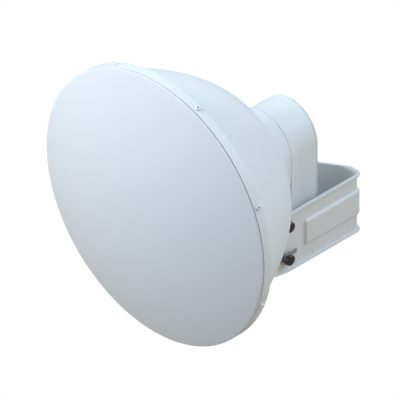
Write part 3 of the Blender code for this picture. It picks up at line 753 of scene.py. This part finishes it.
# %% Back cover
back = cover_high[1] - RIM_CENTRE.y
seam = cover_low[1] - RIM_CENTRE.y
edge = min(2.6 * MM, (back - seam) * 0.9)
stations = [(seam, rear_radius - 0.3 * MM, drop - 0.3 * MM, 0),
            (seam + 0.3 * MM, rear_radius, drop, 0)]
for k in range(7):
    a = math.pi / 2 * k / 6
    inset = edge * (1 - math.cos(a))
    stations.append((back - edge + edge * math.sin(a), rear_radius - inset, drop - inset, 0))
bm = bmesh.new()
loops = housing_rows(bm, stations)
skin(bm, loops)
bm.faces.new(loops[0])
bm.faces.new(loops[-1])
piece("housing_rear_cover", bm, housing_plastic, "housing_plastic", "antenna",
      "housing_back_cover", place=DISH)

# %% Bottom cap
half = Vector(((cap_high[0] - cap_low[0]) / 2, (cap_high[1] - cap_low[1]) / 2))
plan = rounded([(sx * half.x, sy * half.y, 5 * MM)
                for sx, sy in ((1, 1), (-1, 1), (-1, -1), (1, -1))], 6)
tall = cap_high[2] - cap_low[2]
levels = [(0, 0.4 * MM), (-0.4 * MM, 0)]
levels += [(-tall + 3 * MM * (1 - math.sin(a)), 3 * MM * (1 - math.cos(a)))
           for a in (math.pi / 2 * k / 6 for k in range(7))]
bm = bmesh.new()
loops = [[bm.verts.new((x * (1 - inset / half.x), y * (1 - inset / half.y), z)) for x, y in plan]
         for z, inset in levels]
skin(bm, loops)
bm.faces.new(loops[0])
bm.faces.new(loops[-1])
seat = Vector(((cap_low[0] + cap_high[0]) / 2, (cap_low[1] + cap_high[1]) / 2, cap_high[2]))
piece("housing_base_cap", bm, housing_plastic, "housing_plastic", "antenna",
      "housing_bottom_cap", place=Matrix.Translation(seat))

# %% [markdown]
# ## Pole bracket
#
# The bracket is one strip of steel, bent to a U round the housing, with its long edges
# rolled outwards and a raised panel pressed into each side and round each rear corner. Its
# back is folded into a trough that seats the pole. The strip is swept along its plan line:
# at each station one closed section of the sheet, pushed out where the panel is. The holes
# and slots are then cut through it.

# %% Plan line of the bracket
strip_low, strip_high = (Vector(corner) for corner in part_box("pole_bracket"))
SHEET = 3 * MM
LIP, BEND = 3.5 * MM, 1 * MM
ARM_X = strip_high.x - LIP
ARM_FRONT_Y = strip_low.y
LAND_Y = strip_high.y - LIP
RECESS_HALF_WIDTH, FLOOR_HALF_WIDTH = 46.5 * MM, 10 * MM
CORNER_RADIUS, RECESS_RADIUS, FLOOR_RADIUS = 6 * MM, 20 * MM, 3 * MM
TOP, BOTTOM = strip_high.z, strip_low.z

plan_corners = [(ARM_X, ARM_FRONT_Y), (ARM_X, LAND_Y, CORNER_RADIUS),
                (RECESS_HALF_WIDTH, LAND_Y, RECESS_RADIUS), (FLOOR_HALF_WIDTH, 0, FLOOR_RADIUS)]
plan_corners += [(-c[0], *c[1:]) for c in reversed(plan_corners)]
plan = [Vector(p) for p in rounded(plan_corners, 10)]


def resampled(line, longest):
    """The same line, with long straight runs divided."""
    points = [line[0]]
    for a, b in zip(line, line[1:]):
        pieces = max(1, math.ceil((b - a).length / longest))
        points += [a.lerp(b, k / pieces) for k in range(1, pieces + 1)]
    return points


plan = resampled(plan, 1.6 * MM)
print("bracket stations", len(plan))

# %% [markdown]
# The panel is a rounded rectangle on the unrolled strip, so a point's raise depends on how
# far it is along the strip and how high. Measuring along the strip from the panel's middle
# makes both ends alike.

# %% Panel and section
PANEL_RAISE, PANEL_SLOPE = 3 * MM, 3.4 * MM
PANEL_HALF_HEIGHT, PANEL_Z = 17.7 * MM, -1 * MM
PANEL_START_Y = -72.5 * MM           # front end, on the arm
PANEL_END_X = 51 * MM                # rear end, on the land
PANEL_CORNER = 3 * MM
HEEL_Y, HEEL_REACH, HEEL_RISE = -94.5 * MM, 32 * MM, 4 * MM

lengths = [0.0]
for a, b in zip(plan, plan[1:]):
    lengths.append(lengths[-1] + (b - a).length)
starts = min(range(len(plan) // 2), key=lambda k: abs(plan[k].y - PANEL_START_Y))
ends = min(range(starts, len(plan) // 2), key=lambda k: abs(plan[k].x - PANEL_END_X))
panel_middle = (lengths[starts] + lengths[ends]) / 2
panel_half = (lengths[ends] - lengths[starts]) / 2


def panel(along, z):
    """Share of the full raise at a place on the unrolled strip."""
    along = min(along, lengths[-1] - along)
    du = abs(along - panel_middle) - panel_half + PANEL_CORNER
    dv = abs(z - PANEL_Z) - PANEL_HALF_HEIGHT + PANEL_CORNER
    outside = math.hypot(max(du, 0), max(dv, 0)) + min(max(du, dv), 0) - PANEL_CORNER
    return smooth(0.5 - outside / PANEL_SLOPE)


def bend(radius, edge, side, steps):
    """(outward, z) points round a lip's bend, from the lip to the upright sheet."""
    centre = edge - side * (SHEET + BEND)
    turns = [math.pi / 2 * k / steps for k in range(steps + 1)]
    return [(BEND - radius * math.sin(a), centre + side * radius * math.cos(a)) for a in turns]


def mixed(plain, lip, share):
    return [(u + share * (v - u), w + share * (z - w)) for (u, w), (v, z) in zip(plain, lip)]


def edge_of(edge, side, lipped):
    """The two faces of one edge, each from its tip to the upright sheet."""
    tip, cut_round = 0.9 * MM, 0.5 * MM
    reach = SHEET + BEND
    faces = []
    for radius, start, sign, steps in ((BEND, edge - side * SHEET, 1, 4),
                                       (BEND + SHEET, edge, -1, 6)):
        lip = [(LIP, start + sign * side * tip), (LIP - 0.3 * tip, start + 0.3 * sign * side * tip),
               (LIP - tip, start)] + bend(radius, edge, side, steps)
        face = BEND - radius
        plain = [(face - sign * cut_round, edge), (face - 0.3 * sign * cut_round,
                                                   edge - 0.3 * side * cut_round)]
        left = len(lip) - 3
        plain += [(face, edge - side * (cut_round + (reach - cut_round) * k / left))
                  for k in range(left + 1)]
        faces.append(mixed(plain, lip, lipped))
    return faces


def section(along, rise, lipped):
    """Closed (outward, z) section of the sheet, from the top lip down and back up."""
    top, bottom = TOP, BOTTOM + rise
    high, low = top - SHEET - BEND, bottom + SHEET + BEND
    heights = [high + (low - high) * k / 66 for k in range(1, 66)]
    top_face, top_back = edge_of(top, 1, lipped)
    bottom_face, bottom_back = edge_of(bottom, -1, lipped)
    face = [(PANEL_RAISE * panel(along, z), z) for z in heights]
    back = [(PANEL_RAISE * panel(along, z) - SHEET, z) for z in reversed(heights)]
    return top_face + face + bottom_face[::-1] + bottom_back + back + top_back[::-1]


# %% Sweep the strip
recess_lean = math.atan2(LAND_Y, RECESS_HALF_WIDTH - FLOOR_HALF_WIDTH)
LIPS_FADE_X = RECESS_HALF_WIDTH + RECESS_RADIUS * math.tan(recess_lean / 2)
LIPS_END_X = LIPS_FADE_X - RECESS_RADIUS * math.sin(recess_lean)
bm = bmesh.new()
loops = []
for k, point in enumerate(plan):
    ahead = (plan[min(k + 1, len(plan) - 1)] - plan[max(k - 1, 0)]).normalized()
    outward = Vector((ahead.y, -ahead.x))
    rise = HEEL_RISE * max(0.0, (HEEL_Y - point.y) / HEEL_REACH) ** 2
    lipped = min(1.0, max(0.0, (abs(point.x) - LIPS_END_X) / (LIPS_FADE_X - LIPS_END_X)))
    loops.append([bm.verts.new((*(point + outward * o), z))
                  for o, z in section(lengths[k], rise, lipped)])
skin(bm, loops)
bm.faces.new(loops[0])
bm.faces.new(loops[-1])
bracket = piece("bracket_pressing", bm, bracket_paint, "bracket_paint", "bracket",
                "pole_bracket", crease=40)

# %% [markdown]
# ### Holes, slots and corners
#
# Each upper bolt turns in a round hole, and each lower one travels in a slot that curves
# about it, which is how the dish tilts. Two more slots in the back take the bolts of a pole
# clamp. A cutter is a prism through both arms, and a Boolean takes it out of the strip.

# %% Cutters
PIVOT = middle("pivot_bolt_right").yz
LOCK = middle("lock_bolt_right").yz
SLOT_RADIUS = (PIVOT - LOCK).length
SLOT_HALF_ANGLE, SLOT_HALF_WIDTH = math.radians(17.5), 4.6 * MM
BOLT_HOLE = 4.3 * MM
CLAMP_SLOT_X, CLAMP_SLOT_RUN, CLAMP_SLOT_RADIUS = 55.5 * MM, 1.5 * MM, 4.4 * MM
NOSE_TOP_Y, NOSE_PIVOT_Y, NOSE_END_Z = -110.5 * MM, -116.1 * MM, -18 * MM
REACH = 90 * MM


def arc(centre, radius, start, end, steps):
    return [(centre[0] + radius * math.cos(start + (end - start) * k / steps),
             centre[1] + radius * math.sin(start + (end - start) * k / steps))
            for k in range(steps + 1)]


def cut(target, name, outline, spot, low, high):
    """Cut a prism out of the target. spot turns (u, v, along) into a point."""
    bm = bmesh.new()
    loops = [[bm.verts.new(spot(u, v, end)) for u, v in outline] for end in (low, high)]
    skin(bm, loops)
    bm.faces.new(loops[0])
    bm.faces.new(loops[1])
    bmesh.ops.recalc_face_normals(bm, faces=bm.faces[:])
    mesh = bpy.data.meshes.new(name)
    bm.to_mesh(mesh)
    bm.free()
    cutter = bpy.data.objects.new(name, mesh)
    bpy.context.scene.collection.objects.link(cutter)
    bpy.context.view_layer.objects.active = target
    modifier = target.modifiers.new(name, "BOOLEAN")
    modifier.object = cutter
    modifier.solver = "EXACT"
    bpy.ops.object.modifier_apply(modifier=name)
    bpy.data.objects.remove(cutter)


def through_arms(u, v, along):
    return along, u, v


def through_back(u, v, along):
    return u, along, v


down = math.radians(270)
first, last = down - SLOT_HALF_ANGLE, down + SLOT_HALF_ANGLE
first_end = PIVOT + SLOT_RADIUS * Vector((math.cos(first), math.sin(first)))
last_end = PIVOT + SLOT_RADIUS * Vector((math.cos(last), math.sin(last)))
slot = arc(PIVOT, SLOT_RADIUS + SLOT_HALF_WIDTH, first, last, 16)
slot += arc(last_end, SLOT_HALF_WIDTH, last, last + math.pi, 16)[1:-1]
slot += arc(PIVOT, SLOT_RADIUS - SLOT_HALF_WIDTH, last, first, 16)
slot += arc(first_end, SLOT_HALF_WIDTH, first + math.pi, first + math.tau, 16)[1:-1]
corner = [(NOSE_TOP_Y, TOP + 5 * MM), (NOSE_PIVOT_Y, PIVOT.y, 30 * MM),
          (ARM_FRONT_Y - 0.5 * MM, NOSE_END_Z), (ARM_FRONT_Y - 25 * MM, NOSE_END_Z),
          (ARM_FRONT_Y - 25 * MM, TOP + 5 * MM)]
bpy.context.view_layer.update()
cut(bracket, "pivot_hole", arc(PIVOT, BOLT_HOLE, 0, math.tau, 32)[:-1], through_arms, -REACH, REACH)
cut(bracket, "lock_slot", slot, through_arms, -REACH, REACH)
cut(bracket, "front_corner", rounded(corner), through_arms, -REACH, REACH)
for side in (-1, 1):
    centre = side * CLAMP_SLOT_X
    ends_of = [(centre + CLAMP_SLOT_RUN, PANEL_Z, -math.pi / 2),
               (centre - CLAMP_SLOT_RUN, PANEL_Z, math.pi / 2)]
    outline = [p for x, z, a in ends_of for p in arc((x, z), CLAMP_SLOT_RADIUS, a, a + math.pi, 12)]
    cut(bracket, "clamp_slot", outline, through_back, -10 * MM, 30 * MM)
bracket.data.set_sharp_from_angle(angle=math.radians(40))
print("bracket faces after cutting:", len(bracket.data.polygons))

# %% Elevation marks
TICK_STEP, TICKS = math.radians(2.5), 6
TICK_HEIGHT, TICK_WIDTH = 0.25 * MM, 0.6 * MM
bm = bmesh.new()
for side in (-1, 1):
    for k in range(-TICKS, TICKS + 1):
        angle = down + TICK_STEP * k
        long = 4.5 * MM if k % 2 == 0 else 3 * MM
        along = Vector((0, math.cos(angle), math.sin(angle)))
        across = Vector((0, -along.z, along.y))
        centre = Vector((side * (ARM_X + TICK_HEIGHT / 2 - 0.05 * MM), *PIVOT))
        centre += along * (SLOT_RADIUS - SLOT_HALF_WIDTH - 3.5 * MM - long / 2)
        axes = Matrix((Vector((side, 0, 0)), along, across)).transposed().to_4x4()
        size = Matrix.Diagonal((TICK_HEIGHT + 0.1 * MM, long, TICK_WIDTH, 1))
        bmesh.ops.create_cube(bm, size=1, matrix=Matrix.Translation(centre) @ axes @ size)
piece("elevation_marks", bm, bracket_paint, "bracket_paint", "bracket")

# %% [markdown]
# ## Bolts, washers and nuts
#
# Each of the four bolts carries a spring washer and a flat washer outside, and a nut inside
# the yoke. A hexagon with its corners turned off is made of rows whose radius depends on
# the angle. The spring washer is a split ring with its two ends a little apart.


# %% Hexagons and threads
def hexagon(angle, flat):
    """Distance from the middle of a hexagon to its side, at an angle."""
    return flat / math.cos((angle + math.pi / 6) % (math.pi / 3) - math.pi / 6)


def lathe(rows_in, steps=72):
    """Rows of (y, radius, flat), each cut off by a hexagon if flat isn't None."""
    bm = bmesh.new()
    turns = [math.tau * k / steps for k in range(steps)]
    rows = []
    for y, radius, flat in rows_in:
        if radius == 0:
            rows.append([bm.verts.new((0, y, 0))] * steps)
            continue
        reach = [radius if flat is None else min(radius, hexagon(a, flat)) for a in turns]
        rows.append([bm.verts.new((r * math.cos(a), y, r * math.sin(a)))
                     for a, r in zip(turns, reach)])
    if rows_in[0][1] > 0:
        rows.append(rows[0])
    skin(bm, rows)
    return bm


def thread(start, end, radius, pitch=1.25 * MM, depth=0.45 * MM):
    """Rows of a screw thread, drawn as rings, from start to end along the axis."""
    turns = max(1, round((end - start) / pitch))
    step = (end - start) / turns
    rows = []
    for k in range(turns):
        rows += [(start + step * k, radius - depth, None), (start + step * (k + 0.5), radius, None)]
    return rows + [(end, radius - depth, None)]


# %% The four bolt sets
FLAT = 6.5 * MM                      # half of the 13 mm across the flats
CORNERS = 7.4 * MM
BOLT_RADIUS = 4 * MM


def reach_of(node, side):
    """Nearest and farthest distance of a node from the middle plane."""
    low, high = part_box(node)
    ends = sorted((low[0] * side, high[0] * side))
    return ends[0], ends[1]


def bolt(tip, head_top):
    head = head_top - 5.5 * MM
    rows = [(tip, 0, None), (tip, BOLT_RADIUS - 0.9 * MM, None)]
    rows += thread(tip + 0.8 * MM, tip + 22 * MM, BOLT_RADIUS)
    rows += [(tip + 22.5 * MM, BOLT_RADIUS, None), (head, BOLT_RADIUS, None),
             (head, 6.3 * MM, None), (head + 0.4 * MM, 6.3 * MM, None),
             (head + 0.4 * MM, CORNERS, FLAT), (head_top - 1.0 * MM, CORNERS, FLAT),
             (head_top - 0.6 * MM, 7.0 * MM, FLAT), (head_top - 0.1 * MM, 6.35 * MM, FLAT),
             (head_top, 6.1 * MM, None), (head_top, 0, None)]
    return lathe(rows)


def nut(near, far, hole=3.6 * MM):
    return lathe([(near, hole, None), (near, 6.1 * MM, None), (near + 0.1 * MM, 6.4 * MM, FLAT),
                  (near + 0.8 * MM, CORNERS, FLAT), (far - 0.8 * MM, CORNERS, FLAT),
                  (far - 0.1 * MM, 6.4 * MM, FLAT), (far, 6.1 * MM, None), (far, hole, None)])


def split_washer(near, far, hole, radius):
    """A square-edged ring with a gap, whose ends stand slightly apart."""
    steps = 60
    opening = math.radians(14)
    thick = (far - near) * 0.82
    bm = bmesh.new()
    loops = []
    for k in range(steps + 1):
        a = opening / 2 + (math.tau - opening) * k / steps
        lift = near + (far - near - thick) * k / steps
        shape = rounded([(lift, hole, 0.2 * MM), (lift, radius, 0.3 * MM),
                         (lift + thick, radius, 0.3 * MM), (lift + thick, hole, 0.2 * MM)], 2)
        loops.append([bm.verts.new((r * math.cos(a), y, r * math.sin(a))) for y, r in shape])
    skin(bm, loops)
    bm.faces.new(loops[0])
    bm.faces.new(loops[-1])
    return bm


for side, hand in ((1, "right"), (-1, "left")):
    for use in ("pivot", "lock"):
        node = {kind: f"{use}_{kind}_{hand}" for kind in ("bolt", "spring_washer",
                                                          "flat_washer", "nut")}
        centre = middle(node["bolt"])
        place = aim(Vector((side, 0, 0)), Vector((0, centre.y, centre.z)))
        piece(f"{use}_hex_bolt_{hand}", bolt(*reach_of(node["bolt"], side)), dark_bolt,
              "dark_bolt", "antenna", node["bolt"], place=place, crease=28)
        near, far = reach_of(node["flat_washer"], side)
        ring = rounded([(near, BOLT_HOLE, 0.2 * MM), (near, 9.6 * MM, 0.4 * MM),
                        (far, 9.6 * MM, 0.4 * MM), (far, BOLT_HOLE, 0.2 * MM)], 3)
        piece(f"{use}_plate_washer_{hand}", turned(ring, 64), zinc_steel, "zinc_steel",
              "antenna", node["flat_washer"], place=place)
        near, far = reach_of(node["spring_washer"], side)
        piece(f"{use}_split_washer_{hand}", split_washer(near, far, BOLT_HOLE, 7 * MM),
              zinc_steel, "zinc_steel", "antenna", node["spring_washer"], place=place)
        near, far = reach_of(node["nut"], side)
        piece(f"{use}_hex_nut_{hand}", nut(near, far), zinc_steel, "zinc_steel", "antenna",
              node["nut"], place=place, crease=28)

# %% [markdown]
# ## Yoke
#
# The yoke carries the dish: two ears beside the bracket's arms, a web between them, and four
# feet bolted to the bowl. Its solid already has the right shape, so it stays, with its
# edges softened by a Bevel and the bracket's paint. The four foot bolts get flanged nuts.

# %% Yoke
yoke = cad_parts["dish_yoke"]
weld = yoke.modifiers.new("weld", "WELD")
weld.merge_threshold = 0.00001
soften = yoke.modifiers.new("soft_edges", "BEVEL")
soften.width = 0.4 * MM
soften.segments = 2
soften.limit_method = "ANGLE"
soften.angle_limit = math.radians(40)
yoke.data.materials.clear()
yoke.data.materials.append(bracket_paint)

# %% Foot bolts
M6, M6_FLAT, M6_CORNERS = 3 * MM, 5 * MM, 5.6 * MM
FLANGE_RADIUS = 7 * MM
YOKE_SHEET = 3 * MM
for k in range(1, 5):
    node = f"yoke_bolt_{k}"
    outward = (middle(node) - RIM_CENTRE).normalized()
    seat = RIM_CENTRE + outward * BOWL_RADIUS
    nut_seat = YOKE_SHEET + 2 * GAP
    under = -BOWL_WALL - 1 * MM
    rows = [(under - 2.5 * MM, 0, None), (under - 2.5 * MM, 6 * MM, None),
            (under, FLANGE_RADIUS, None), (under, M6, None), (nut_seat, M6, None),
            (nut_seat, FLANGE_RADIUS, None), (nut_seat + 0.8 * MM, FLANGE_RADIUS, None),
            (nut_seat + 1.3 * MM, 6.2 * MM, None), (nut_seat + 1.8 * MM, M6_CORNERS, M6_FLAT),
            (nut_seat + 4.8 * MM, M6_CORNERS, M6_FLAT), (nut_seat + 5.4 * MM, 4.9 * MM, M6_FLAT),
            (nut_seat + 5.5 * MM, 4.6 * MM, None), (nut_seat + 5.5 * MM, M6, None)]
    rows += thread(nut_seat + 5.6 * MM, nut_seat + 7.7 * MM, M6, 1 * MM, 0.35 * MM)
    rows += [(nut_seat + 8 * MM, 2.2 * MM, None), (nut_seat + 8 * MM, 0, None)]
    piece(f"foot_bolt_{k}", lathe(rows), zinc_steel, "zinc_steel", "antenna", node,
          place=aim(outward, seat), crease=28)
